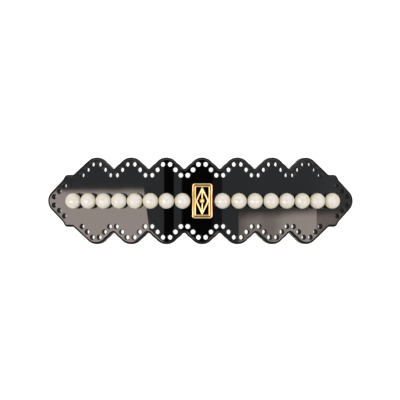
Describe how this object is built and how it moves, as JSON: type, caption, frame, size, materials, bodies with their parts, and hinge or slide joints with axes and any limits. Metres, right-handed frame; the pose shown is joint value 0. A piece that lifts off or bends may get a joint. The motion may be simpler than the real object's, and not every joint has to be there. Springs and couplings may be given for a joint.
{
  "type": "barrette",
  "caption": "Hair barrette: scalloped, perforated, bent acetate plate with a row of pearl beads and a small plaque, on a hinged spring clip that grips the hair.",
  "frame": {"origin": "middle of the bounding box's base: under the centre of the plate, on the surface the clip rests on", "axes": "+X along the barrette from the clip's hinge towards its latch, +Y across it, +Z out of the decorated face; the decorated face is up and the clip is below"},
  "size_m": [0.1052, 0.0296, 0.0235],
  "materials": {
    "acetate": "tumble polished black acetate",
    "pearl": "cream nacre-coated bead",
    "gilt": "cast, gold plated, soft polish",
    "clip_steel": "stamped sheet, bright nickel",
    "spring_steel": "hardened strip, nickel",
    "rivet_steel": "turned, nickel",
    "peg_steel": "drawn wire"
  },
  "bodies": {
    "barrette": {"front_plate": "acetate", "bead_left_8": "pearl", "bead_left_7": "pearl", "bead_left_6": "pearl", "bead_left_5": "pearl", "bead_left_4": "pearl", "bead_left_3": "pearl", "bead_left_2": "pearl", "bead_left_1": "pearl", "bead_right_1": "pearl", "bead_right_2": "pearl", "bead_right_3": "pearl", "bead_right_4": "pearl", "bead_right_5": "pearl", "bead_right_6": "pearl", "bead_right_7": "pearl", "bead_right_8": "pearl", "bead_pegs": "peg_steel", "emblem": "gilt", "clip_base": "clip_steel", "rivet_hinge_end": "rivet_steel", "rivet_latch_end": "rivet_steel", "hinge_pin": "rivet_steel", "latch_plate": "clip_steel", "latch_rivet": "rivet_steel"},
    "arm": {"clasp_arm": "clip_steel"},
    "bow": {"tension_bow": "spring_steel"},
    "wing_upper": {"latch_wing_upper": "spring_steel"},
    "wing_lower": {"latch_wing_lower": "spring_steel"}
  },
  "joints": [
    {"name": "arm_swing", "type": "hinge", "parent": "barrette", "child": "arm", "pos_m": [-0.03566, 0, 0.00211], "axis": [0, 1, 0], "range_deg": [0, 80]},
    {"name": "bow_swing", "type": "hinge", "parent": "barrette", "child": "bow", "pos_m": [-0.03566, 0, 0.00211], "axis": [0, 1, 0], "range_deg": [0, 32]},
    {"name": "wing_upper_squeeze", "type": "hinge", "parent": "barrette", "child": "wing_upper", "pos_m": [0.03349, 0.0023, 0.00825], "axis": [-0.9481, 0, 0.318], "range_deg": [0, 6], "stiffness_Nm_per_rad": 0.5},
    {"name": "wing_lower_squeeze", "type": "hinge", "parent": "barrette", "child": "wing_lower", "pos_m": [0.03349, -0.0023, 0.00825], "axis": [0.9481, 0, -0.318], "range_deg": [0, 6], "stiffness_Nm_per_rad": 0.5}
  ],
  "couplings": [
    {"joint": "bow_swing", "follows": "arm_swing", "ratio": 0.4}
  ]
}
